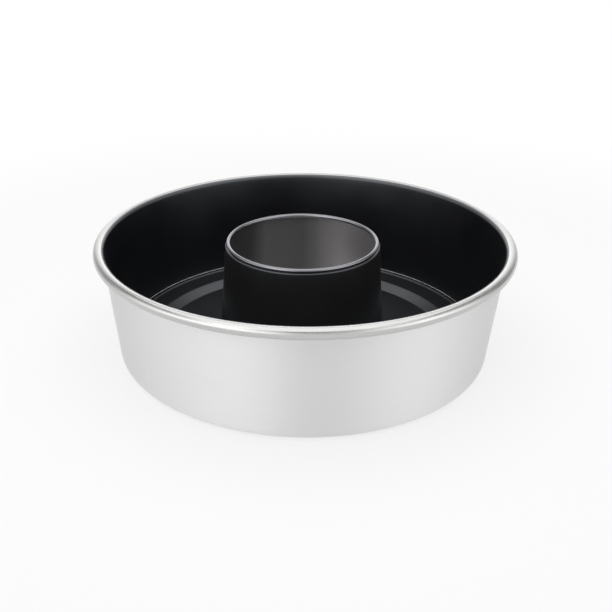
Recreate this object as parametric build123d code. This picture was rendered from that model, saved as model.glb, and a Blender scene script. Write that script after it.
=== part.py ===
"""Angel food cake pan: a sheet-metal shell and a lift-out insert of a stepped disc and a centre tube.

Every piece is a band of sheet, or of coat on it, drawn in half section and turned about +Z.
The origin is on the table, at the centre of the foot ring. Lengths are in millimetres.
"""
from build123d import *
from dataclasses import dataclass
from math import acos, asin, atan2, cos, degrees, hypot, radians, sin, tan
import os

# Pan
rim_radius = 133.0            # outside of the rolled rim
pan_height = 76.0             # table to the crest of the rim
wall_flare = 12.5             # how much wider the rim is than the wall's foot
coat = 0.2                    # non-stick coat, built up thicker than life so that it is a solid

# Outer shell
shell_sheet = 1.0
rim_bead = 6.8                # diameter of the rolled rim
corner_radius = 6.5           # outside of the bottom corner
foot_width = 2.0              # flat of the foot ring that the pan stands on
ledge_rise = 3.2              # table to the underside of the ledge
ledge_width = 4.3             # flat of the ledge that carries the disc
riser_angle = 60.0            # slope of the sheet between foot and ledge
shell_bend = 1.0              # inside radius of the bends beside the riser
curl_gap_angle = 8.0          # how far each curl stops short of its own wall
rim_coat_angle = 49.0         # how far the coat climbs over the rolled rim

# Base disc
disc_sheet = 0.8
disc_side_clearance = 0.7     # disc to the coated wall
disc_lip_height = 3.0         # turned-up edge, from the disc's underside
disc_lip_bend = 1.8           # inside radius of that edge
step_clearance = 0.7          # the step hangs inside the ledge by this much
step_run = 7.1                # width of the sloping step, seen from above
step_bend = 1.2               # inside radius of the bends at the step
table_clearance = 0.4         # table to the underside of the disc's floor
hub_slope_run = 3.0           # width of the slope up to the hub, seen from above
hub_margin = 3.0              # flat of the hub outside the tube's fold

# Centre tube
tube_sheet = 0.8
tube_base_radius = 54.0       # outside, at the seam and just above it
tube_taper = 3.8              # how much the cone narrows up to where it meets the neck
tube_shoulder_drop = 9.2      # crest of the tube to where cone and neck meet
tube_rim_inset = 1.45         # outside of the tube's rolled edge, inside that meeting point
tube_below_rim = 3.8          # crest of the rim to the crest of the tube
tube_bead = 2.2               # diameter of the tube's rolled edge
tube_bare_neck = 1.2          # bare stretch between the rolled edge and the coat
tube_coated_neck = 0.6        # straight stretch of coat above the round shoulder
fold_width = 2.6              # how far the pinched fold stands out from the tube
fold_bend = 1.1               # outside radius of the fold's nose
fold_flat = 0.4               # straight stretch of the fold's nose
fold_root_bend = 0.8          # inside radius where the fold turns up into the tube
seam_bend = 0.4               # inside radius of the bends that grip the disc
seam_gap = 0.1                # disc's hole to the bends
flange_width = 4.4            # flange under the disc, from the tube's outside
flange_clearance = 0.2        # flange above the level of the disc's floor


@dataclass(frozen=True)
class Curl:
    """The rolled end of a sheet: a circle about centre, with radius to the line that is drawn."""

    centre: tuple
    radius: float
    sweep: float


def lean_to_curl(start, curl):
    """The angle from upright, in degrees, at which a line from start touches a curl's inner side."""
    across, up = curl.centre[0] - start[0], curl.centre[1] - start[1]
    return degrees(atan2(across, up) - asin(curl.radius / hypot(across, up)))


def full_sweep(radius, sheet):
    """How far a sheet of this thickness can roll round an outer radius before it meets its wall."""
    return 360.0 - degrees(acos((radius - sheet) / radius)) - curl_gap_angle


def one_side(points, bends, offset, curl):
    """One face of a sheet in section: the corner points moved left by offset, with rounded bends."""
    headings = [(Vector(*b) - Vector(*a)).normalized() for a, b in zip(points, points[1:])]
    lefts = [Vector(-heading.Y, heading.X) for heading in headings]
    corners, radii = [Vector(*points[0]) + lefts[0] * offset], []
    for i, bend in enumerate(bends):
        before, after = lefts[i], lefts[i + 1]
        mitre = (before + after) * (offset / (1 + before.dot(after)))
        corners.append(Vector(*points[i + 1]) + mitre)
        turns_left = headings[i].cross(headings[i + 1]).Z > 0
        radii.append(bend - offset if turns_left else bend + offset)
    corners.append(Vector(*points[-1]) + lefts[-1] * offset)
    edges = list(FilletPolyline(*corners, radius=radii).edges())
    if not curl:
        return edges, corners[0], corners[-1]
    start_angle = degrees(atan2(lefts[-1].Y, lefts[-1].X))
    arc = CenterArc(curl.centre, curl.radius + offset, start_angle, -curl.sweep).edge()
    return edges + [arc], corners[0], arc @ 1


def turned_band(points, bends, near, far, curl=None):
    """Turn the band of sheet between two offsets of a section line about +Z."""
    one, one_start, one_end = one_side(points, bends, near, curl)
    two, two_start, two_end = one_side(points, bends, far, curl)
    ends = [Line(one_start, two_start).edge(), Line(one_end, two_end).edge()]
    section = Plane.XZ * make_face(one + two + ends)
    return revolve(section, Axis.Z)


# Shell, worked out from the sizes above
bead_radius = rim_bead / 2
base_radius = rim_radius - wall_flare
rim_curl = Curl(
    (rim_radius - bead_radius, pan_height - bead_radius),
    bead_radius - shell_sheet,
    full_sweep(bead_radius, shell_sheet),
)
wall_lean = lean_to_curl((base_radius, 0), rim_curl)
corner_reach = corner_radius * tan(radians(90 - wall_lean) / 2)
outer_bend = shell_bend + shell_sheet
riser_reach = outer_bend * tan(radians(riser_angle) / 2)
foot_inner = base_radius - corner_reach - foot_width - riser_reach
riser_top = foot_inner - ledge_rise / tan(radians(riser_angle))
ledge_inner = riser_top - shell_bend * tan(radians(riser_angle) / 2) - ledge_width
rest_height = ledge_rise + shell_sheet + coat


def curl_touch(curl, lean):
    """Where an upright line that leans by lean degrees touches the curl's inner side."""
    left = Vector(-cos(radians(lean)), sin(radians(lean)))
    return tuple(Vector(*curl.centre) + left * curl.radius)[:2]


def shell_line():
    """The shell's outside face in section: ledge, riser, foot, corner and wall."""
    points = [
        (ledge_inner, ledge_rise),
        (riser_top, ledge_rise),
        (foot_inner, 0),
        (base_radius, 0),
        curl_touch(rim_curl, wall_lean),
    ]
    return points, [shell_bend, outer_bend, corner_radius]


def outer_shell():
    """Shell with its foot ring, inner ledge, flared wall and rolled rim."""
    points, bends = shell_line()
    return turned_band(points, bends, 0, shell_sheet, rim_curl)


def shell_coating():
    """Coat on the inside of the shell, from the ledge to the crest of the rim."""
    points, bends = shell_line()
    reach = Curl(rim_curl.centre, rim_curl.radius, rim_coat_angle)
    return turned_band(points, bends, shell_sheet, shell_sheet + coat, reach)


# Insert, worked out from the shell and the sizes above
lip_bend_height = rest_height + disc_lip_bend + disc_sheet
wall_at_lip = base_radius + lip_bend_height * tan(radians(wall_lean))
lip_radius = wall_at_lip - (shell_sheet + coat) / cos(radians(wall_lean)) - disc_side_clearance
step_outer = ledge_inner - step_clearance
step_inner = step_outer - step_run
hub_height = table_clearance + flange_clearance + tube_sheet
seam_height = hub_height + disc_sheet + coat
fold_top = seam_height + 2 * fold_bend + fold_flat
tube_bead_radius = tube_bead / 2
tube_top = pan_height - tube_below_rim
shoulder = (tube_base_radius - tube_taper, tube_top - tube_shoulder_drop)
tube_curl = Curl(
    (shoulder[0] - tube_rim_inset - tube_bead_radius, tube_top - tube_bead_radius),
    tube_bead_radius - tube_sheet,
    full_sweep(tube_bead_radius, tube_sheet),
)
neck_lean = lean_to_curl(shoulder, tube_curl)
neck_top = curl_touch(tube_curl, neck_lean)
neck_length = hypot(neck_top[0] - shoulder[0], neck_top[1] - shoulder[1])
coat_stop = tube_bead_radius + tube_bare_neck
shoulder_reach = neck_length - coat_stop - tube_coated_neck
cone_lean = degrees(atan2(shoulder[0] - tube_base_radius, shoulder[1] - fold_top))
shoulder_bend = shoulder_reach / tan(radians(cone_lean - neck_lean) / 2)
fold_radius = tube_base_radius + fold_width
hole_radius = tube_base_radius + seam_bend + seam_gap
hub_outer = fold_radius + hub_margin


def disc_line():
    """The disc's underside in section: hub, floor, step, ledge ring and turned-up edge."""
    points = [
        (hole_radius, hub_height),
        (hub_outer, hub_height),
        (hub_outer + hub_slope_run, table_clearance),
        (step_inner, table_clearance),
        (step_outer, rest_height),
        (lip_radius, rest_height),
        (lip_radius, rest_height + disc_lip_height),
    ]
    inside, outside = step_bend, step_bend + disc_sheet
    return points, [inside, outside, outside, inside, disc_lip_bend + disc_sheet]


def base_disc():
    """Disc that closes the pan: it lies on the ledge and steps down inside it."""
    points, bends = disc_line()
    return turned_band(points, bends, 0, disc_sheet)


def base_disc_coating():
    """Coat on the disc's upper side."""
    points, bends = disc_line()
    return turned_band(points, bends, disc_sheet, disc_sheet + coat)


def tube_line():
    """The tube's outside face in section: flange, throat, pinched fold, cone and neck."""
    points = [
        (tube_base_radius + flange_width, hub_height),
        (tube_base_radius, hub_height),
        (tube_base_radius, seam_height),
        (fold_radius, seam_height),
        (fold_radius, fold_top),
        (tube_base_radius, fold_top),
        shoulder,
        neck_top,
    ]
    bends = [seam_bend, seam_bend, fold_bend, fold_bend, fold_root_bend, shoulder_bend]
    return points, bends


def centre_tube():
    """Tube with a rolled edge at its top, and a fold and a flange that grip the disc."""
    points, bends = tube_line()
    return turned_band(points, bends, 0, tube_sheet, tube_curl)


def tube_coating():
    """Coat on the outside of the tube, from the nose of the fold to just below the rolled edge."""
    points, bends = tube_line()
    nose = (fold_radius, seam_height + fold_bend)
    touch, below = Vector(*points[-1]), Vector(*points[-2])
    stop = touch + (below - touch).normalized() * coat_stop
    return turned_band([nose] + points[4:7] + [tuple(stop)[:2]], bends[3:], -coat, 0)


pieces = {
    "outer_shell": outer_shell,
    "shell_coating": shell_coating,
    "base_disc": base_disc,
    "base_disc_coating": base_disc_coating,
    "centre_tube": centre_tube,
    "tube_coating": tube_coating,
}

os.makedirs("parts", exist_ok=True)
for name, make in pieces.items():
    piece = make()
    piece.label = name
    export_step(piece, f"parts/{name}.step")
    box = piece.bounding_box()
    print(f"{name}: volume {piece.volume:.1f}, x {box.min.X:.2f} to {box.max.X:.2f}, "
          f"z {box.min.Z:.2f} to {box.max.Z:.2f}, valid {piece.is_valid}")
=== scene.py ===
"""Angel food cake pan, dressed: a brushed aluminium shell with a rolled rim, and its lift-out insert.

Every piece is sheet metal, or the non-stick coat on it, so each is a section line with rounded bends
that is drawn twice, once for each face of the sheet, and spun about the pan's axis.
Section sizes, and those of the patterns in the finishes, are in millimetres. Meshes are scaled to
metres when they are finished.
"""

import logging
import math
from collections.abc import Mapping, Sequence
from dataclasses import dataclass
from enum import Enum
from functools import cache

import bmesh
import bpy
from mathutils import Matrix, Vector


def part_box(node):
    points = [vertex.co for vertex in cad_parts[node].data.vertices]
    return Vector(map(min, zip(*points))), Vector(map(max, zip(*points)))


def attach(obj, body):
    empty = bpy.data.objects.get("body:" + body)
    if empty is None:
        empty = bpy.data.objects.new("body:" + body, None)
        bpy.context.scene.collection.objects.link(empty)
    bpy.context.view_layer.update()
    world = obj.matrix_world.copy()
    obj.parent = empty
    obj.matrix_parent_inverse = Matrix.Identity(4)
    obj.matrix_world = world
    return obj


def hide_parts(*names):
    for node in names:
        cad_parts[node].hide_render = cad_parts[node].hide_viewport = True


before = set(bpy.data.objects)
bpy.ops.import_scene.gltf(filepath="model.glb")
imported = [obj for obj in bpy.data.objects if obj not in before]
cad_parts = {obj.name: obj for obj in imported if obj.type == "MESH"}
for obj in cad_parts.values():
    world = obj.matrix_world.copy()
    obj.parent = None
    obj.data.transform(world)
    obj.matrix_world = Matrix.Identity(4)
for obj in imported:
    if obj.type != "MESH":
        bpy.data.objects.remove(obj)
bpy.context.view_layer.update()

log = logging.getLogger("cake_pan")
MM = 0.001

EDGE_FACETS = 3               # in the rounding of a sheet's cut edge
MERGE_SHARE = 0.01            # of that rounding: vertices closer than this on a seam are one
BEAD_FINISH = 1               # a bead's finish comes second among its piece's materials
BEAD_SHARES = (0.5, 1.1)      # of the sheet, from its inner face: what counts as the bead's outside
NOISE_SPREAD = {"From Min": 0.3, "From Max": 0.7}  # most of a noise's values lie between these


@cache
def solid_box(name: str) -> tuple[Vector, Vector]:
    """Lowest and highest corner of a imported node, in mm."""
    low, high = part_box(name)
    return low / MM, high / MM


class Slot(Enum):
    """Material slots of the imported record."""

    SATIN_ALUMINIUM = "satin_aluminium"
    TUBE_ALUMINIUM = "tube_aluminium"
    BLACK_COATING = "black_coating"


class Body(Enum):
    """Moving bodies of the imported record."""

    SHELL = "shell"
    INSERT = "insert"


# Section lines


@dataclass(frozen=True)
class Curl:
    """The rolled end of a sheet in section.

    Attributes:
        centre: middle of the roll, across and up, in mm.
        radius: from the middle to the face of the sheet that the section line follows, in mm.
        sweep: how far the sheet rolls round, in degrees.
    """

    centre: Vector
    radius: float
    sweep: float

    @classmethod
    def rolled(cls, rim: Vector, bead: float, sheet: float, gap: float) -> "Curl":
        """A bead that rolls outward until it almost meets its own wall.

        Args:
            rim: the bead's outermost and highest reach, in mm.
            bead: diameter of the bead, in mm.
            sheet: thickness of the sheet, in mm.
            gap: angle left between the sheet's end and the wall, in degrees.

        Returns:
            The curl, for a section line on the outside of the wall.
        """
        radius = bead / 2
        sweep = 360 - math.degrees(math.acos((radius - sheet) / radius)) - gap
        return cls(rim - Vector((radius, radius)), radius - sheet, sweep)

    def lean_from(self, start: Vector) -> float:
        """Angle from upright, in radians, of a line from start that touches the curl's inner side."""
        across, up = self.centre - start
        return math.atan2(across, up) - math.asin(self.radius / math.hypot(across, up))

    def touch(self, lean: float) -> Vector:
        """Where a line that leans by lean radians touches the curl's inner side."""
        return self.centre + self.radius * Vector((-math.cos(lean), math.sin(lean)))

    def partly(self, sweep: float) -> "Curl":
        """The same curl, stopped after sweep degrees."""
        return Curl(self.centre, self.radius, sweep)


class Pen:
    """Draws one line of a section with bmesh operators, in mm.

    Attributes:
        arc_step: about how far each facet of an arc turns, in degrees.
        fewest_steps: how many facets even the shortest arc has.
        longest_run: what no facet of a straight run is longer than, in mm.
    """

    arc_step = 7.5
    fewest_steps = 2
    longest_run = 3.5

    def __init__(self, mesh: bmesh.types.BMesh, start: Vector) -> None:
        """Puts the pen down.

        Args:
            mesh: the mesh to draw in.
            start: where the line starts, across and up.
        """
        self.mesh = mesh
        self.tip = mesh.verts.new((start.x, 0, start.y))
        self.start = self.tip

    @property
    def place(self) -> Vector:
        """Where the pen is, across and up."""
        return Vector((self.tip.co.x, self.tip.co.z))

    def line_to(self, end: Vector) -> None:
        """Draws a straight run in short stretches.

        Args:
            end: where the run ends, across and up.
        """
        start = self.place
        stretches = math.ceil((end - start).length / self.longest_run)
        for i in range(stretches):
            made = bmesh.ops.extrude_vert_indiv(self.mesh, verts=[self.tip])
            self.tip = made["verts"][0]
            place = start.lerp(end, (i + 1) / stretches)
            self.tip.co = (place.x, 0, place.y)

    def arc(self, centre: Vector, turn: float) -> None:
        """Draws an arc.

        Args:
            centre: middle of the arc, across and up.
            turn: angle in degrees, positive where the line turns left.
        """
        made = bmesh.ops.spin(
            self.mesh, geom=[self.tip], cent=(centre.x, 0, centre.y), axis=(0, -1, 0),
            angle=math.radians(turn),
            steps=max(self.fewest_steps, round(abs(turn) / self.arc_step)),
        )
        self.tip = made["geom_last"][0]


@dataclass(frozen=True)
class Section:
    """A sheet in half section: a line of straight runs with rounded bends, and a curl at its end.

    Attributes:
        corners: where the runs of the line meet, across and up, in mm.
        bends: the line's radius at each corner between its ends, in mm.
        curl: the rolled end, if the sheet has one.
    """

    corners: Sequence[Vector]
    bends: Sequence[float]
    curl: Curl | None = None

    def draw_face(self, mesh: bmesh.types.BMesh, offset: float) -> Pen:
        """Draws the line, moved to its left by offset.

        Args:
            mesh: the mesh to draw in.
            offset: distance from the section line to this face of the sheet, in mm.

        Returns:
            The pen, which holds the first and last vertex of the face.
        """
        headings = [(end - start).normalized() for start, end in zip(self.corners, self.corners[1:])]
        lefts = [Vector((-heading.y, heading.x)) for heading in headings]
        pen = Pen(mesh, self.corners[0] + lefts[0] * offset)
        for i, bend in enumerate(self.bends):
            mitre = (lefts[i] + lefts[i + 1]) * offset / (1 + lefts[i].dot(lefts[i + 1]))
            corner = self.corners[i + 1] + mitre
            turn = math.atan2(headings[i].cross(headings[i + 1]), headings[i].dot(headings[i + 1]))
            radius = bend - math.copysign(offset, turn)
            pen.line_to(corner - headings[i] * radius * math.tan(abs(turn) / 2))
            pen.arc(pen.place + lefts[i] * math.copysign(radius, turn), math.degrees(turn))
        pen.line_to(self.corners[-1] + lefts[-1] * offset)
        if self.curl:
            pen.arc(self.curl.centre, -self.curl.sweep)
        return pen

    def turned(self, near: float, far: float, quarter_steps: int, edge: float) -> bmesh.types.BMesh:
        """Turns the sheet between two offsets of the line about the pan's axis.

        Args:
            near: offset of the sheet's first face, in mm.
            far: offset of its second face, in mm.
            quarter_steps: facets in a quarter turn.
            edge: rounding of the sheet's cut edges, in mm.

        Returns:
            The closed mesh, in metres, with its faces outward.
        """
        mesh = bmesh.new()
        faces = self.draw_face(mesh, near), self.draw_face(mesh, far)
        starts, ends = [pen.start for pen in faces], [pen.tip for pen in faces]
        mesh.edges.new(starts)
        mesh.edges.new(ends)
        bmesh.ops.bevel(
            mesh, geom=starts + ends, offset=edge, offset_type="OFFSET", affect="VERTICES",
            segments=EDGE_FACETS, profile=0.5, material=-1,
        )
        bmesh.ops.spin(
            mesh, geom=mesh.verts[:] + mesh.edges[:], cent=(0, 0, 0), axis=(0, 0, 1),
            angle=math.tau / 4, steps=quarter_steps,
        )
        for axis in "XY":
            whole = mesh.verts[:] + mesh.edges[:] + mesh.faces[:]
            bmesh.ops.mirror(mesh, geom=whole, axis=axis, merge_dist=edge * MERGE_SHARE)
        bmesh.ops.scale(mesh, vec=(MM, MM, MM), verts=mesh.verts)
        bmesh.ops.recalc_face_normals(mesh, faces=mesh.faces)
        return mesh


# Finishes


def linear(colour: str, alpha: float = 1.0) -> tuple[float, float, float, float]:
    """Turns an sRGB hex colour into the linear values that a shader takes.

    Args:
        colour: six hex digits after a hash sign.
        alpha: fourth value of the result.

    Returns:
        Linear red, green and blue, and alpha.
    """
    values = [int(colour[i:i + 2], 16) / 255 for i in (1, 3, 5)]
    red, green, blue = (v / 12.92 if v <= 0.04045 else ((v + 0.055) / 1.055) ** 2.4 for v in values)
    return red, green, blue, alpha


def grey(level: float) -> tuple[float, float, float, float]:
    """A grey of this linear level."""
    return level, level, level, 1.0


def node(tree: bpy.types.NodeTree, kind: str, settings: Mapping[str, object] | None = None,
         inputs: Mapping[str | int, object] | None = None) -> bpy.types.Node:
    """Adds one node with its settings, values and links.

    Args:
        tree: the node tree that gets the node.
        kind: the node's type.
        settings: attributes of the node.
        inputs: a value, or another node's output, for each named or numbered socket.

    Returns:
        The new node.
    """
    made = tree.nodes.new(kind)
    for name, value in (settings or {}).items():
        setattr(made, name, value)
    for socket, value in (inputs or {}).items():
        if isinstance(value, bpy.types.NodeSocket):
            tree.links.new(value, made.inputs[socket])
        else:
            made.inputs[socket].default_value = value
    return made


def new_tree(name: str) -> tuple[bpy.types.Material, bpy.types.NodeTree]:
    """Makes a material whose node tree is still empty.

    Args:
        name: the material's name.

    Returns:
        The material, and its node tree.
    """
    material = bpy.data.materials.new(name)
    material.use_nodes = True
    material.node_tree.nodes.clear()
    return material, material.node_tree


def off_axis(tree: bpy.types.NodeTree,
             place: bpy.types.NodeSocket) -> tuple[bpy.types.NodeSocket, bpy.types.NodeSocket]:
    """Which way, and how far, a place lies from the pan's axis.

    Args:
        tree: the material's node tree.
        place: the socket that holds the place.

    Returns:
        The sockets of the level offset from the axis, and of the same at length 1.
    """
    level = node(tree, "ShaderNodeVectorMath", {"operation": "MULTIPLY"}, {0: place, 1: (1, 1, 0)})
    outward = node(tree, "ShaderNodeVectorMath", {"operation": "NORMALIZE"}, {0: level.outputs[0]})
    return level.outputs[0], outward.outputs[0]


def around(tree: bpy.types.NodeTree, streak: float, spacing: float) -> bpy.types.NodeSocket:
    """Coordinates for a pattern of rings about the pan's axis.

    One step of the pattern is a streak's length round the pan, and a ring's spacing along the metal.
    A point's height and its distance from the axis are added up, so that the rings go on from the
    wall across the flat of the base.

    Args:
        tree: the material's node tree.
        streak: length of a streak at the wall, in mm.
        spacing: distance from ring to ring, in mm.

    Returns:
        The socket that holds the coordinates.
    """
    wall = solid_box("outer_shell")[1].x * MM
    place = node(tree, "ShaderNodeTexCoord").outputs["Object"]
    level, outward = off_axis(tree, place)
    ring = node(tree, "ShaderNodeVectorMath", {"operation": "SCALE"},
                {0: outward, "Scale": wall / (streak * MM)})
    radius = node(tree, "ShaderNodeVectorMath", {"operation": "LENGTH"}, {0: level})
    height = node(tree, "ShaderNodeSeparateXYZ", inputs={0: place})
    run = node(tree, "ShaderNodeMath", {"operation": "ADD"},
               {0: radius.outputs["Value"], 1: height.outputs["Z"]})
    along = node(tree, "ShaderNodeMath", {"operation": "DIVIDE"}, {0: run.outputs[0], 1: spacing * MM})
    lift = node(tree, "ShaderNodeCombineXYZ", inputs={"Z": along.outputs[0]})
    both = node(tree, "ShaderNodeVectorMath", {"operation": "ADD"},
                {0: ring.outputs[0], 1: lift.outputs[0]})
    return both.outputs[0]


def graded(tree: bpy.types.NodeTree, share: bpy.types.NodeSocket,
           stops: Sequence[tuple[float, float]]) -> bpy.types.NodeSocket:
    """A level that runs straight from stop to stop.

    Args:
        tree: the node tree that gets the ramp.
        share: the socket whose value, from 0 to 1, is looked up.
        stops: a value of share and the level there, from 0 to 1, in rising order of share.

    Returns:
        The socket that holds the level as a grey.
    """
    ramp = node(tree, "ShaderNodeValToRGB", inputs={"Fac": share})
    made = ramp.color_ramp.elements
    for place, _ in stops[1:-1]:
        made.new(place)
    for stop, (place, level) in zip(made, stops):
        stop.position = place
        stop.color = grey(level)
    return ramp.outputs["Color"]


@dataclass(frozen=True)
class BrushedAluminium:
    """Spun aluminium sheet, brushed on the lathe with fine abrasive.

    The eye gets a bright satin metal whose highlights are drawn out up and down the wall, across fine
    rings, with faint upright streaks where the sheet isn't quite round.
    """

    colour: str = "#e5e5e5"
    roughness: float = 0.46
    roughness_spread: float = 0.05
    dullest_share: float = 0.96   # of the colour, left on the dullest ring
    anisotropy: float = 0.85
    anisotropy_turn: float = 0.25  # of a full turn, from along the rings to across them
    ring_spacing: float = 0.6     # the real rings lie about 0.1 mm apart, too fine to show
    ring_length: float = 45.0
    ring_depth: float = 0.0012
    ripple_width: float = 9.0
    ripple_height: float = 60.0
    ripple_depth: float = 0.006

    def material(self) -> bpy.types.Material:
        """Builds the material.

        Returns:
            The metal, with its rings, its upright streaks and its drawn-out shine.
        """
        material, tree = new_tree("brushed_spun_aluminium")
        rings = node(tree, "ShaderNodeTexNoise", inputs={
            "Vector": around(tree, self.ring_length, self.ring_spacing),
            "Scale": 1.0, "Detail": 3.0, "Roughness": 0.7})
        ripples = node(tree, "ShaderNodeTexNoise", inputs={
            "Vector": around(tree, self.ripple_width, self.ripple_height),
            "Scale": 1.0, "Detail": 2.0, "Roughness": 0.6})
        rough = node(tree, "ShaderNodeMapRange", inputs={
            "Value": rings.outputs["Fac"], **NOISE_SPREAD,
            "To Min": self.roughness - self.roughness_spread,
            "To Max": self.roughness + self.roughness_spread})
        tone = node(tree, "ShaderNodeMapRange", inputs={
            "Value": rings.outputs["Fac"], **NOISE_SPREAD,
            "To Min": self.dullest_share, "To Max": 1.0})
        colour = node(tree, "ShaderNodeVectorMath", {"operation": "SCALE"},
                      {0: linear(self.colour)[:3], "Scale": tone.outputs[0]})
        wavy = node(tree, "ShaderNodeBump", inputs={
            "Height": ripples.outputs["Fac"], "Distance": self.ripple_depth * MM, "Strength": 1.0})
        scored = node(tree, "ShaderNodeBump", inputs={
            "Height": rings.outputs["Fac"], "Distance": self.ring_depth * MM, "Strength": 1.0,
            "Normal": wavy.outputs[0]})
        round_the_pan = node(tree, "ShaderNodeTangent", {"direction_type": "RADIAL", "axis": "Z"})
        surface = node(tree, "ShaderNodeBsdfPrincipled", inputs={
            "Base Color": colour.outputs[0], "Metallic": 1.0, "Roughness": rough.outputs[0],
            "Anisotropic": self.anisotropy, "Anisotropic Rotation": self.anisotropy_turn,
            "Tangent": round_the_pan.outputs[0], "Normal": scored.outputs[0]})
        node(tree, "ShaderNodeOutputMaterial", inputs={"Surface": surface.outputs[0]})
        return material


@dataclass(frozen=True)
class RolledAluminium:
    """Aluminium that a roller has pressed smooth while it turned the edge over.

    The eye gets a tighter shine than on the brushed wall, with long slow wobbles in it.
    """

    name: str = "rolled_bare_aluminium"
    colour: str = "#c4c4c3"
    roughness: float = 0.27
    polish: float = 0.05          # how much smoother its best stretches are
    scuffing: float = 0.07        # how much rougher its scuffs are
    wobble_length: float = 26.0
    wobble_spacing: float = 2.0
    wobble_depth: float = 0.004
    scuff_length: float = 13.0
    scuff_spacing: float = 0.5

    def material(self) -> bpy.types.Material:
        """Builds the material.

        Returns:
            The metal, with its wobbles and its scuffs.
        """
        material, tree = new_tree(self.name)
        wobble = node(tree, "ShaderNodeTexNoise", inputs={
            "Vector": around(tree, self.wobble_length, self.wobble_spacing),
            "Scale": 1.0, "Detail": 2.0})
        scuffs = node(tree, "ShaderNodeTexNoise", inputs={
            "Vector": around(tree, self.scuff_length, self.scuff_spacing),
            "Scale": 1.0, "Detail": 3.0, "Roughness": 0.7})
        rough = node(tree, "ShaderNodeMapRange", inputs={
            "Value": scuffs.outputs["Fac"], **NOISE_SPREAD,
            "To Min": self.roughness - self.polish, "To Max": self.roughness + self.scuffing})
        pressed = node(tree, "ShaderNodeBump", inputs={
            "Height": wobble.outputs["Fac"], "Distance": self.wobble_depth * MM, "Strength": 1.0})
        surface = node(tree, "ShaderNodeBsdfPrincipled", inputs={
            "Base Color": linear(self.colour), "Metallic": 1.0, "Roughness": rough.outputs[0],
            "Normal": pressed.outputs[0]})
        node(tree, "ShaderNodeOutputMaterial", inputs={"Surface": surface.outputs[0]})
        return material


@dataclass(frozen=True)
class NonStickCoat:
    """Black silicone non-stick, sprayed on and baked.

    The eye gets a deep satin black with a soft, cool sheen and the faint orange peel of a sprayed
    coat, which thins out over the rolled rim so that the metal greys it.
    """

    name: str = "baked_black_nonstick"
    colour: str = "#0a0a0c"
    sheen: str = "#f2f8ff"        # tint of what the coat mirrors
    metal: str = "#8f8f94"        # that shows through where the coat is thin
    ior: float = 1.72
    roughness: float = 0.33
    roughness_spread: float = 0.03
    thin_top: float = 0.4         # below the crest of the rim, where the coat is thinnest
    thin_depth: float = 2.2       # height over which it thins out
    thin_share: float = 0.55      # of the metal, seen where the coat is thinnest
    peel_size: float = 1.1
    peel_depth: float = 0.004
    cloud_size: float = 28.0

    def material(self) -> bpy.types.Material:
        """Builds the material.

        Returns:
            The coat, with its orange peel, and thin towards the crest of the rim.
        """
        material, tree = new_tree(self.name)
        place = node(tree, "ShaderNodeTexCoord").outputs["Object"]
        peel = node(tree, "ShaderNodeTexNoise", inputs={
            "Vector": place, "Scale": 1 / (self.peel_size * MM), "Detail": 2.0})
        clouds = node(tree, "ShaderNodeTexNoise", inputs={
            "Vector": place, "Scale": 1 / (self.cloud_size * MM), "Detail": 3.0})
        rough = node(tree, "ShaderNodeMapRange", inputs={
            "Value": clouds.outputs["Fac"], **NOISE_SPREAD,
            "To Min": self.roughness - self.roughness_spread,
            "To Max": self.roughness + self.roughness_spread})
        dimpled = node(tree, "ShaderNodeBump", inputs={
            "Height": peel.outputs["Fac"], "Distance": self.peel_depth * MM, "Strength": 1.0})
        crest = solid_box("outer_shell")[1].z * MM
        height = node(tree, "ShaderNodeSeparateXYZ", inputs={0: place})
        thin = node(tree, "ShaderNodeMapRange", {"interpolation_type": "SMOOTHSTEP"}, {
            "Value": height.outputs["Z"], "From Min": crest - (self.thin_top + self.thin_depth) * MM,
            "From Max": crest - self.thin_top * MM, "To Min": 0.0, "To Max": self.thin_share})
        colour = node(tree, "ShaderNodeMix", {"data_type": "RGBA"}, {
            "Factor": thin.outputs[0], "A": linear(self.colour), "B": linear(self.metal)})
        surface = node(tree, "ShaderNodeBsdfPrincipled", inputs={
            "Base Color": colour.outputs["Result"], "Metallic": thin.outputs[0],
            "Roughness": rough.outputs[0], "IOR": self.ior, "Specular Tint": linear(self.sheen),
            "Normal": dimpled.outputs[0]})
        node(tree, "ShaderNodeOutputMaterial", inputs={"Surface": surface.outputs[0]})
        return material


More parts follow.
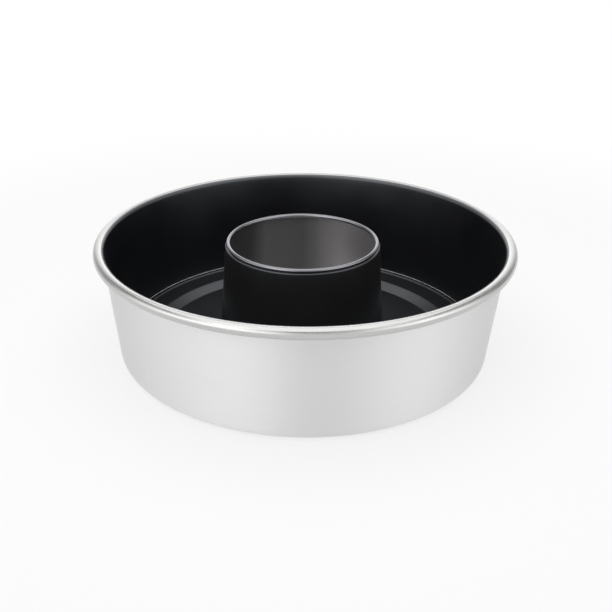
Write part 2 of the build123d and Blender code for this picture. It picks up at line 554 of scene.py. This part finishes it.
@dataclass(frozen=True)
class OversprayedAluminium:
    """Aluminium inside the tube, where the black spray drifted in and was never meant to cover.

    The eye gets a dull grey metal, dusted with black specks, and darker towards one side of the tube
    than towards the other.
    """

    metal: str = "#c6c3c5"
    dust: str = "#171718"
    roughness: float = 0.45
    speck_size: float = 0.5       # real specks are about 0.2 mm, too fine to show
    speck_spread: tuple[float, float] = (0.25, 0.75)
    speck_share: float = 0.06     # that the specks add to the dark share, or take from it
    darkest_azimuth: float = 240.0  # of the darkest side, in degrees from the front
    # Share of the dark colour, after the cosine of the angle to the darkest side
    dark_shares: tuple[tuple[float, float], ...] = (
        (-0.15, 0.0), (0.09, 0.36), (0.34, 0.7), (0.5, 0.83), (0.88, 0.78), (0.97, 0.96),
    )

    def material(self) -> bpy.types.Material:
        """Builds the material.

        Returns:
            The metal, with its specks and the black spray that drifted in.
        """
        material, tree = new_tree("oversprayed_aluminium")
        place = node(tree, "ShaderNodeTexCoord").outputs["Object"]
        specks = node(tree, "ShaderNodeTexNoise", inputs={
            "Vector": place, "Scale": 1 / (self.speck_size * MM), "Detail": 3.0, "Roughness": 0.7})
        dimmest, brightest = self.speck_spread
        dusted = node(tree, "ShaderNodeMapRange", inputs={
            "Value": specks.outputs["Fac"], "From Min": dimmest, "From Max": brightest,
            "To Min": -self.speck_share, "To Max": self.speck_share})
        toward = math.radians(self.darkest_azimuth)
        _, outward = off_axis(tree, place)
        facing = node(tree, "ShaderNodeVectorMath", {"operation": "DOT_PRODUCT"},
                      {0: outward, 1: (math.sin(toward), -math.cos(toward), 0)})
        share = node(tree, "ShaderNodeMath", {"operation": "MULTIPLY_ADD"},
                     {0: facing.outputs["Value"], 1: 0.5, 2: 0.5})
        # Darker towards one side of the tube, by the angle to the darkest side
        one_sided = graded(tree, share.outputs[0],
                         [(cosine / 2 + 0.5, dark_share) for cosine, dark_share in self.dark_shares])
        dark_share = node(tree, "ShaderNodeMath", {"operation": "ADD"}, {0: dusted.outputs[0], 1: one_sided})
        bare = node(tree, "ShaderNodeMath", {"operation": "SUBTRACT"}, {0: 1.0, 1: dark_share.outputs[0]})
        colour = node(tree, "ShaderNodeMix", {"data_type": "RGBA"}, {
            "Factor": dark_share.outputs[0], "A": linear(self.metal), "B": linear(self.dust)})
        surface = node(tree, "ShaderNodeBsdfPrincipled", inputs={
            "Base Color": colour.outputs["Result"], "Metallic": bare.outputs[0],
            "Roughness": self.roughness})
        node(tree, "ShaderNodeOutputMaterial", inputs={"Surface": surface.outputs[0]})
        return material


@dataclass(frozen=True)
class Finishes:
    """The materials that the pieces share.

    Attributes:
        brushed: on the wall, the base and the disc's underside.
        rolled: on the rim.
        coat: on the shell's inside and the disc.
        tube_coat: the same on the tube, made lighter, a very dark grey: painted light that brightens
            the tube.
        oversprayed: inside the tube.
        dulled: on the tube's bead, darker than the rim and with a tighter shine.
    """

    brushed: bpy.types.Material
    rolled: bpy.types.Material
    coat: bpy.types.Material
    tube_coat: bpy.types.Material
    oversprayed: bpy.types.Material
    dulled: bpy.types.Material

    @classmethod
    def made(cls) -> "Finishes":
        """Builds one of each.

        Returns:
            The finishes.
        """
        return cls(
            BrushedAluminium().material(),
            RolledAluminium().material(),
            NonStickCoat().material(),
            # A lighter copy of the coat for the tube: painted light that brightens it to a very dark
            # grey.
            NonStickCoat("painted_light_black_nonstick", colour="#222223").material(),
            OversprayedAluminium().material(),
            RolledAluminium("dulled_rolled_aluminium", colour="#86868b", roughness=0.16).material(),
        )


# Pieces


def in_scene(name: str, mesh: bmesh.types.BMesh) -> bpy.types.Object:
    """Makes an object from a finished mesh and adds it to the scene.

    Args:
        name: the object's name.
        mesh: the mesh, in metres, which is freed.

    Returns:
        The object, still without a material.
    """
    data = bpy.data.meshes.new(name)
    mesh.to_mesh(data)
    mesh.free()
    made = bpy.data.objects.new(name, data)
    bpy.context.scene.collection.objects.link(made)
    return made


@dataclass(frozen=True)
class Piece:
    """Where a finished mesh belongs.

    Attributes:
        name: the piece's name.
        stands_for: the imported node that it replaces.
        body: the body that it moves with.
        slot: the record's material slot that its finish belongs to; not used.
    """

    name: str
    stands_for: str
    body: Body
    slot: Slot

    def place(self, mesh: bmesh.types.BMesh, *materials: bpy.types.Material) -> None:
        """Makes the object from its mesh, puts it on its body and reports it.

        Args:
            mesh: the finished mesh, in metres, which is freed.
            materials: the finishes that the mesh's faces refer to.
        """
        for face in mesh.faces:
            face.smooth = True
        made = in_scene(self.name, mesh)
        for material in materials:
            made.data.materials.append(material)
        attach(made, self.body.value)
        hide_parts(self.stands_for)
        log.info("%s: %d faces", self.name, len(made.data.polygons))


def finish_bead(mesh: bmesh.types.BMesh, curl: Curl, sheet: float) -> None:
    """Gives the outside of a rolled bead a finish of its own.

    Args:
        mesh: the turned sheet, in metres.
        curl: the curl at its end.
        sheet: thickness of the sheet, in mm.
    """
    inner, outer = ((curl.radius + share * sheet) * MM for share in BEAD_SHARES)
    for face in mesh.faces:
        middle = face.calc_center_median()
        place = Vector((math.hypot(middle.x, middle.y), middle.z))
        if inner < (place - curl.centre * MM).length < outer:
            face.material_index = BEAD_FINISH


@dataclass(frozen=True)
class Shell:
    """The outer shell: foot ring, inner ledge, flared wall and rolled rim, with its coat inside.

    Lengths are in mm, and angles in degrees.
    """

    wall_flare: float = 12.5      # how much wider the rim is than the wall's foot
    coat: float = 0.2
    sheet: float = 1.0
    rim_bead: float = 6.8         # diameter of the rolled rim
    corner_radius: float = 6.5    # outside of the bottom corner
    foot_width: float = 2.0       # flat of the ring that the pan stands on
    ledge_rise: float = 3.2       # table to the underside of the ledge
    ledge_width: float = 4.3      # flat that carries the disc
    riser_angle: float = 60.0     # slope of the sheet between foot and ledge
    bend: float = 1.0             # inside radius of the bends beside the riser
    curl_gap: float = 8.0         # how far the curl stops short of its own wall
    coat_climb: float = 49.0      # how far the coat goes over the curl
    quarter_steps: int = 64       # facets in a quarter turn
    cut_edge: float = 0.2         # rounding of the sheet's cut edges
    coat_edge: float = 0.06       # rounding of the coat's edges

    @property
    def base_radius(self) -> float:
        """Outside of the wall, carried down to the table, in mm."""
        return solid_box("outer_shell")[1].x - self.wall_flare

    @property
    def curl(self) -> Curl:
        """The rolled rim."""
        top = solid_box("outer_shell")[1]
        return Curl.rolled(Vector((top.x, top.z)), self.rim_bead, self.sheet, self.curl_gap)

    @property
    def wall_lean(self) -> float:
        """Angle of the wall from upright, in radians."""
        return self.curl.lean_from(Vector((self.base_radius, 0)))

    @property
    def riser_top(self) -> float:
        """Radius at which the riser meets the ledge, in mm."""
        corner_reach = self.corner_radius * math.tan((math.pi / 2 - self.wall_lean) / 2)
        riser = math.radians(self.riser_angle)
        riser_reach = (self.bend + self.sheet) * math.tan(riser / 2)
        foot_inner = self.base_radius - corner_reach - self.foot_width - riser_reach
        return foot_inner - self.ledge_rise / math.tan(riser)

    @property
    def ledge_inner(self) -> float:
        """Radius of the ledge's inner edge, in mm."""
        reach = self.bend * math.tan(math.radians(self.riser_angle) / 2)
        return self.riser_top - reach - self.ledge_width

    @property
    def rest_height(self) -> float:
        """Height of the coated ledge that the disc lies on, in mm."""
        return self.ledge_rise + self.sheet + self.coat

    def section(self, curl: Curl) -> Section:
        """The shell's outside face, from the ledge to the rim.

        Args:
            curl: the rolled rim, or the part of it that the coat covers.

        Returns:
            The section, with that curl at its end.
        """
        foot_inner = self.riser_top + self.ledge_rise / math.tan(math.radians(self.riser_angle))
        return Section(
            [
                Vector((self.ledge_inner, self.ledge_rise)),
                Vector((self.riser_top, self.ledge_rise)),
                Vector((foot_inner, 0)),
                Vector((self.base_radius, 0)),
                curl.touch(self.wall_lean),
            ],
            [self.bend, self.bend + self.sheet, self.corner_radius],
            curl,
        )

    def build(self, finishes: Finishes) -> None:
        """Builds the sheet and its coat.

        Args:
            finishes: the materials that they are dressed in.
        """
        sheet = self.section(self.curl).turned(0, self.sheet, self.quarter_steps, self.cut_edge)
        finish_bead(sheet, self.curl, self.sheet)
        spun = Piece("spun_shell", "outer_shell", Body.SHELL, Slot.SATIN_ALUMINIUM)
        spun.place(sheet, finishes.brushed, finishes.rolled)
        climbed = self.section(self.curl.partly(self.coat_climb))
        coat = climbed.turned(
            self.sheet, self.sheet + self.coat, self.quarter_steps, self.coat_edge)
        sprayed = Piece("shell_nonstick", "shell_coating", Body.SHELL, Slot.BLACK_COATING)
        sprayed.place(coat, finishes.coat)


@dataclass(frozen=True)
class Insert:
    """The lift-out insert: a stepped disc with a turned-up lip, and the centre tube seamed to it.

    Lengths are in mm, and angles in degrees.
    """

    shell: Shell
    coat: float = 0.2
    disc_sheet: float = 0.8
    lip_height: float = 3.0       # turned-up edge, from the disc's underside
    lip_bend: float = 1.8         # inside radius of that edge
    step_clearance: float = 0.7   # the step hangs inside the ledge by this much
    step_run: float = 7.1         # width of the sloping step, seen from above
    step_bend: float = 1.2        # inside radius of the bends at the step
    hub_slope_run: float = 3.0    # width of the slope up to the hub, seen from above
    hub_margin: float = 3.0       # flat of the hub outside the tube's fold
    tube_sheet: float = 0.8
    flange_width: float = 4.4     # flange under the disc, from the tube's outside
    taper: float = 4.5            # how much the cone narrows up to where it meets the neck
    shoulder_drop: float = 2.9    # crest of the tube to where cone and neck meet
    rim_inset: float = 0.45       # outside of the bead, inside that meeting point
    tube_bead: float = 2.7        # diameter of the tube's rolled edge
    bare_neck: float = 0.3        # bare stretch between the bead and the coat
    coated_neck: float = 0.06     # straight stretch of coat above the round shoulder
    fold_width: float = 2.6       # how far the pinched fold stands out from the tube
    fold_bend: float = 1.1        # outside radius of the fold's nose
    fold_flat: float = 0.4        # straight stretch of the fold's nose
    fold_root_bend: float = 0.8   # inside radius where the fold turns up into the tube
    seam_bend: float = 0.4        # inside radius of the bends that grip the disc
    seam_gap: float = 0.1         # disc's hole to the bends
    curl_gap: float = 8.0
    disc_quarter_steps: int = 64
    tube_quarter_steps: int = 48
    cut_edge: float = 0.15
    coat_edge: float = 0.06

    @property
    def tube_radius(self) -> float:
        """Outside of the tube at the seam, in mm."""
        return solid_box("centre_tube")[1].x - self.flange_width

    @property
    def hub_height(self) -> float:
        """Underside of the hub, on the tube's flange, in mm."""
        return solid_box("centre_tube")[0].z + self.tube_sheet

    @property
    def seam_height(self) -> float:
        """Underside of the tube's fold, on the coated hub, in mm."""
        return self.hub_height + self.disc_sheet + self.coat

    @property
    def fold_top(self) -> float:
        """Top of the fold, in mm."""
        return self.seam_height + 2 * self.fold_bend + self.fold_flat

    @property
    def shoulder(self) -> Vector:
        """Where the tube's cone and neck would meet, across and up, in mm."""
        top = solid_box("centre_tube")[1].z
        return Vector((self.tube_radius - self.taper, top - self.shoulder_drop))

    @property
    def curl(self) -> Curl:
        """The tube's rolled edge."""
        top = solid_box("centre_tube")[1].z
        rim = Vector((self.shoulder.x - self.rim_inset, top))
        return Curl.rolled(rim, self.tube_bead, self.tube_sheet, self.curl_gap)

    def disc_section(self) -> Section:
        """The disc's underside: hub, floor, step, ledge ring and turned-up edge.

        Returns:
            The section, from the disc's hole outward.
        """
        lip_radius = solid_box("base_disc")[1].x
        floor = solid_box("base_disc")[0].z
        rest = self.shell.rest_height
        hub_outer = self.tube_radius + self.fold_width + self.hub_margin
        step_outer = self.shell.ledge_inner - self.step_clearance
        inside, outside = self.step_bend, self.step_bend + self.disc_sheet
        return Section(
            [
                Vector((self.tube_radius + self.seam_bend + self.seam_gap, self.hub_height)),
                Vector((hub_outer, self.hub_height)),
                Vector((hub_outer + self.hub_slope_run, floor)),
                Vector((step_outer - self.step_run, floor)),
                Vector((step_outer, rest)),
                Vector((lip_radius, rest)),
                Vector((lip_radius, rest + self.lip_height)),
            ],
            [inside, outside, outside, inside, self.lip_bend + self.disc_sheet],
        )

    def shoulder_bend(self) -> float:
        """Works out the bend between the tube's cone and its neck.

        It takes up what the bead, the bare stretch and the coated stretch leave of the neck.

        Returns:
            The bend's radius, in mm.
        """
        lean = self.curl.lean_from(self.shoulder)
        neck = (self.curl.touch(lean) - self.shoulder).length
        reach = neck - self.tube_bead / 2 - self.bare_neck - self.coated_neck
        cone = self.shoulder - Vector((self.tube_radius, self.fold_top))
        return reach / math.tan((math.atan2(cone.x, cone.y) - lean) / 2)

    def tube_section(self) -> Section:
        """The tube's outside face: flange, throat, pinched fold, cone and neck.

        Returns:
            The section, from the flange's edge to the bead.
        """
        radius, fold = self.tube_radius, self.tube_radius + self.fold_width
        return Section(
            [
                Vector((radius + self.flange_width, self.hub_height)),
                Vector((radius, self.hub_height)),
                Vector((radius, self.seam_height)),
                Vector((fold, self.seam_height)),
                Vector((fold, self.fold_top)),
                Vector((radius, self.fold_top)),
                self.shoulder,
                self.curl.touch(self.curl.lean_from(self.shoulder)),
            ],
            [
                self.seam_bend, self.seam_bend, self.fold_bend, self.fold_bend,
                self.fold_root_bend, self.shoulder_bend(),
            ],
            self.curl,
        )

    def tube_coat_section(self) -> Section:
        """The coated part of the tube's outside face.

        Returns:
            The section, from the fold's nose to just below the bead.
        """
        whole = self.tube_section()
        nose = Vector((self.tube_radius + self.fold_width, self.seam_height + self.fold_bend))
        below, touch = whole.corners[-2:]
        stop = touch + (below - touch).normalized() * (self.tube_bead / 2 + self.bare_neck)
        return Section([nose, *whole.corners[4:7], stop], whole.bends[3:])

    def build(self, finishes: Finishes) -> None:
        """Builds the disc, the tube and their coats.

        Args:
            finishes: the materials that they are dressed in.
        """
        disc, sheet = self.disc_section(), self.disc_sheet
        pressed = Piece("pressed_disc", "base_disc", Body.INSERT, Slot.SATIN_ALUMINIUM)
        pressed.place(
            disc.turned(0, sheet, self.disc_quarter_steps, self.cut_edge), finishes.brushed)
        sprayed = Piece("disc_nonstick", "base_disc_coating", Body.INSERT, Slot.BLACK_COATING)
        sprayed.place(
            disc.turned(sheet, sheet + self.coat, self.disc_quarter_steps, self.coat_edge),
            finishes.coat)
        tube = self.tube_section().turned(
            0, self.tube_sheet, self.tube_quarter_steps, self.cut_edge)
        finish_bead(tube, self.curl, self.tube_sheet)
        rolled = Piece("rolled_tube", "centre_tube", Body.INSERT, Slot.TUBE_ALUMINIUM)
        rolled.place(tube, finishes.oversprayed, finishes.dulled)
        tube_sprayed = Piece("tube_nonstick", "tube_coating", Body.INSERT, Slot.BLACK_COATING)
        tube_sprayed.place(
            self.tube_coat_section().turned(
                -self.coat, 0, self.tube_quarter_steps, self.coat_edge),
            finishes.tube_coat)


# Studio


@dataclass(frozen=True)
class Card:
    """A softbox or a grey card that stands in a ring round the pan.

    Attributes:
        azimuth: where it stands, in degrees from the front, positive to the right.
        level: how bright it is, where 1 is white.
    """

    azimuth: float
    level: float


def shown_by_cards(tree: bpy.types.NodeTree, place: bpy.types.NodeSocket,
                   cards: Sequence[Card]) -> bpy.types.NodeSocket:
    """Brightness of the cards at each azimuth of a place or direction.

    Args:
        tree: the node tree of the surroundings or of the floor.
        place: the place or direction, from the pan's axis.
        cards: cards from azimuth -180 to 180.

    Returns:
        The socket that holds the brightness as a grey.
    """
    parts = node(tree, "ShaderNodeSeparateXYZ", inputs={0: place})
    front = node(tree, "ShaderNodeMath", {"operation": "MULTIPLY"}, {0: parts.outputs["Y"], 1: -1.0})
    azimuth = node(tree, "ShaderNodeMath", {"operation": "ARCTAN2"},
                   {0: parts.outputs["X"], 1: front.outputs[0]})
    share = node(tree, "ShaderNodeMath", {"operation": "MULTIPLY_ADD"},
                 {0: azimuth.outputs[0], 1: 1 / math.tau, 2: 0.5})
    brightest = max(card.level for card in cards)
    stops = [(card.azimuth / 360 + 0.5, card.level / brightest) for card in cards]
    level = node(tree, "ShaderNodeVectorMath", {"operation": "SCALE"},
                 {0: graded(tree, share.outputs[0], stops), "Scale": brightest})
    return level.outputs[0]


@dataclass(frozen=True)
class Studio:
    """Pale floor, soft light from above, and a ring of light and grey cards that the metal mirrors.

    Attributes:
        cards: the ring, which gives the wall its light and dark bands.
        upper_level: brightness of the surroundings above the ring.
        ring_top: elevation up to which the metal sees the ring in full, in degrees.
        upper_start: elevation from which it sees none of the ring, in degrees.
        fill_level: brightness that the surroundings have for everything matt.
        floor_size: side of the floor, in metres.
        floor_colour: colour of the floor's paper.
        foot_radius: within it, the camera sees nothing but the shaded paper, in mm.
        shadow_share: how much of the paper, with the pan's shadow, it sees round the pan.
        shadow_reach: distance from the axis where the floor has turned plain white, in metres.
        overhead_size, overhead_height: of the softbox above the pan, in metres.
        key_size, key_distance: of the softbox in front of it, in metres.
        key_azimuth, key_elevation: direction of that softbox, in degrees.
        overhead_radiance, key_radiance: how bright the softboxes are, where 1 is white.
    """

    cards: tuple[Card, ...] = (
        Card(-180, 1.8), Card(-158, 1.3), Card(-137, 0.5), Card(-115, 0.45), Card(-90, 1.4),
        Card(-66, 1.85), Card(-34, 2.05), Card(-14, 1.7), Card(-4, 0.85), Card(22, 0.8),
        Card(42, 1.5), Card(66, 2.1), Card(90, 1.35), Card(115, 0.35), Card(137, 0.45),
        Card(158, 1.3), Card(180, 1.8),
    )
    upper_level: float = 0.1
    ring_top: float = 20.0
    upper_start: float = 60.0
    fill_level: float = 0.35
    floor_size: float = 8.0
    floor_colour: str = "#f0f0f0"
    foot_radius: float = 113.0
    shadow_share: float = 0.3
    shadow_reach: float = 0.6
    overhead_size: float = 2.0
    overhead_height: float = 1.25
    overhead_radiance: float = 1.45
    key_size: float = 0.8
    key_azimuth: float = -40.0
    key_elevation: float = 42.0
    key_distance: float = 1.5
    key_radiance: float = 0.6

    @staticmethod
    def seen(tree: bpy.types.NodeTree) -> bpy.types.NodeSocket:
        """Tells rays that show the background, straight or mirrored, from rays that light.

        Args:
            tree: the floor's node tree.

        Returns:
            The socket that is 1 for a ray that shows, and 0 for one that lights.
        """
        path = node(tree, "ShaderNodeLightPath")
        mirrored = node(tree, "ShaderNodeMath", {"operation": "MAXIMUM"}, {
            0: path.outputs["Is Glossy Ray"], 1: path.outputs["Is Transmission Ray"]})
        seen = node(tree, "ShaderNodeMath", {"operation": "MAXIMUM"}, {
            0: path.outputs["Is Camera Ray"], 1: mirrored.outputs[0]})
        return seen.outputs[0]

    def build_floor(self) -> None:
        """Builds the floor, white to the camera with the pan's faint shadow."""
        mesh = bmesh.new()
        bmesh.ops.create_grid(mesh, x_segments=1, y_segments=1, size=self.floor_size / 2)
        floor = in_scene("studio_floor", mesh)
        material, tree = new_tree("white_paper")
        paper = node(tree, "ShaderNodeBsdfDiffuse", inputs={"Color": linear(self.floor_colour)})
        place = node(tree, "ShaderNodeTexCoord").outputs["Object"]
        white = node(tree, "ShaderNodeEmission", inputs={"Strength": 1.0})
        distance = node(tree, "ShaderNodeVectorMath", {"operation": "LENGTH"}, {0: place})
        shadow = node(tree, "ShaderNodeMapRange", {"interpolation_type": "SMOOTHSTEP"}, {
            "Value": distance.outputs["Value"], "From Min": self.shadow_reach / 2,
            "From Max": self.shadow_reach, "To Min": self.shadow_share, "To Max": 0.0})
        under = node(tree, "ShaderNodeMath", {"operation": "LESS_THAN"},
                     {0: distance.outputs["Value"], 1: self.foot_radius * MM})
        dark = node(tree, "ShaderNodeMath", {"operation": "MAXIMUM"},
                    {0: shadow.outputs[0], 1: under.outputs[0]})
        backdrop = node(tree, "ShaderNodeMixShader", inputs={
            0: dark.outputs[0], 1: white.outputs[0], 2: paper.outputs[0]})
        either = node(tree, "ShaderNodeMixShader", inputs={
            0: self.seen(tree), 1: paper.outputs[0], 2: backdrop.outputs[0]})
        node(tree, "ShaderNodeOutputMaterial", inputs={"Surface": either.outputs[0]})
        floor.data.materials.append(material)

    def build_world(self) -> None:
        """Builds the surroundings: white to the camera, a ring of cards in the metal, an even fill."""
        world = bpy.data.worlds.new("studio")
        bpy.context.scene.world = world
        world.use_nodes = True
        tree = world.node_tree
        tree.nodes.clear()
        direction = node(tree, "ShaderNodeTexCoord").outputs["Generated"]
        parts = node(tree, "ShaderNodeSeparateXYZ", inputs={0: direction})
        rise = node(tree, "ShaderNodeMapRange", {"interpolation_type": "SMOOTHSTEP"}, {
            "Value": parts.outputs["Z"], "From Min": math.sin(math.radians(self.ring_top)),
            "From Max": math.sin(math.radians(self.upper_start))})
        sky = node(tree, "ShaderNodeMix", {"data_type": "RGBA"}, {
            "Factor": rise.outputs[0], "A": shown_by_cards(tree, direction, self.cards),
            "B": grey(self.upper_level)})
        path = node(tree, "ShaderNodeLightPath")
        ring = node(tree, "ShaderNodeBackground", inputs={
            "Color": sky.outputs["Result"], "Strength": 1.0})
        fill = node(tree, "ShaderNodeBackground", inputs={
            "Color": grey(1.0), "Strength": self.fill_level})
        white = node(tree, "ShaderNodeBackground", inputs={"Color": grey(1.0), "Strength": 1.0})
        mirrored = node(tree, "ShaderNodeMixShader", inputs={
            0: path.outputs["Is Glossy Ray"], 1: fill.outputs[0], 2: ring.outputs[0]})
        clear = node(tree, "ShaderNodeMath", {"operation": "MAXIMUM"}, {
            0: path.outputs["Is Camera Ray"], 1: path.outputs["Is Transmission Ray"]})
        either = node(tree, "ShaderNodeMixShader", inputs={
            0: clear.outputs[0], 1: mirrored.outputs[0], 2: white.outputs[0]})
        node(tree, "ShaderNodeOutputWorld", inputs={"Surface": either.outputs[0]})

    def softbox(self, name: str, place: Vector, size: float, radiance: float) -> None:
        """Hangs a square softbox that faces the pan's foot.

        Args:
            name: the lamp's name.
            place: its middle, in metres.
            size: its side, in metres.
            radiance: how bright its face is, where 1 is white.
        """
        lamp = bpy.data.lights.new(name, "AREA")
        lamp.shape = "SQUARE"
        lamp.size = size
        lamp.energy = radiance * math.pi * size ** 2
        made = bpy.data.objects.new(name, lamp)
        bpy.context.scene.collection.objects.link(made)
        made.location = place
        made.rotation_euler = (-place).to_track_quat("-Z", "Y").to_euler()

    def build(self) -> None:
        """Builds the floor, the surroundings and the lamps."""
        self.build_floor()
        self.build_world()
        self.softbox("overhead_softbox", Vector((0, 0, self.overhead_height)),
                     self.overhead_size, self.overhead_radiance)
        azimuth, elevation = math.radians(self.key_azimuth), math.radians(self.key_elevation)
        toward = Vector((
            math.sin(azimuth) * math.cos(elevation),
            -math.cos(azimuth) * math.cos(elevation),
            math.sin(elevation),
        ))
        self.softbox("key_softbox", toward * self.key_distance, self.key_size, self.key_radiance)


@dataclass(frozen=True)
class Viewpoint:
    """The photograph's camera, in front of the pan and above it.

    Attributes:
        distance: from the camera to the aim, in mm.
        elevation: of the camera above the aim, in degrees.
        aim_height: height of the aim on the pan's axis, in mm.
        yaw, pitch, roll: turn of the camera away from the aim, in degrees.
        focal_length: in pixels of the photograph.
        axis_column: the pixel column that the camera's axis passes through.
        frame_width: width and height of the photograph, in pixels.
        sensor_width: of the camera, in mm.
    """

    distance: float = 567.07
    elevation: float = 25.459
    aim_height: float = 32.0
    yaw: float = -3.456
    pitch: float = -0.719
    roll: float = 0.577
    focal_length: float = 853.68
    axis_column: float = 250.0
    frame_width: float = 612.0
    sensor_width: float = 36.0

    def build(self) -> None:
        """Builds the camera and makes it the scene's."""
        data = bpy.data.cameras.new("photo_camera")
        data.sensor_width = self.sensor_width
        data.lens = self.focal_length / self.frame_width * self.sensor_width
        data.shift_x = 0.5 - self.axis_column / self.frame_width
        rise = math.radians(self.elevation)
        aim = Vector((0, 0, self.aim_height))
        place = aim + self.distance * Vector((0, -math.cos(rise), math.sin(rise)))
        turn = (aim - place).to_track_quat("-Z", "Y").to_matrix()
        turn = turn @ Matrix.Rotation(-math.radians(self.yaw), 3, "Y")
        turn = turn @ Matrix.Rotation(math.radians(self.pitch), 3, "X")
        turn = turn @ Matrix.Rotation(math.radians(self.roll), 3, "Z")
        camera = bpy.data.objects.new("photo_camera", data)
        bpy.context.scene.collection.objects.link(camera)
        camera.matrix_world = Matrix.Translation(place * MM) @ turn.to_4x4()
        bpy.context.scene.camera = camera


def main() -> None:
    """Builds the pan, the studio and the camera."""
    logging.basicConfig(level=logging.INFO, format="%(name)s: %(message)s")
    bpy.context.scene.view_settings.view_transform = "Standard"
    finishes = Finishes.made()
    shell = Shell()
    shell.build(finishes)
    Insert(shell).build(finishes)
    Studio().build()
    Viewpoint().build()


if __name__ == "__main__":
    main()
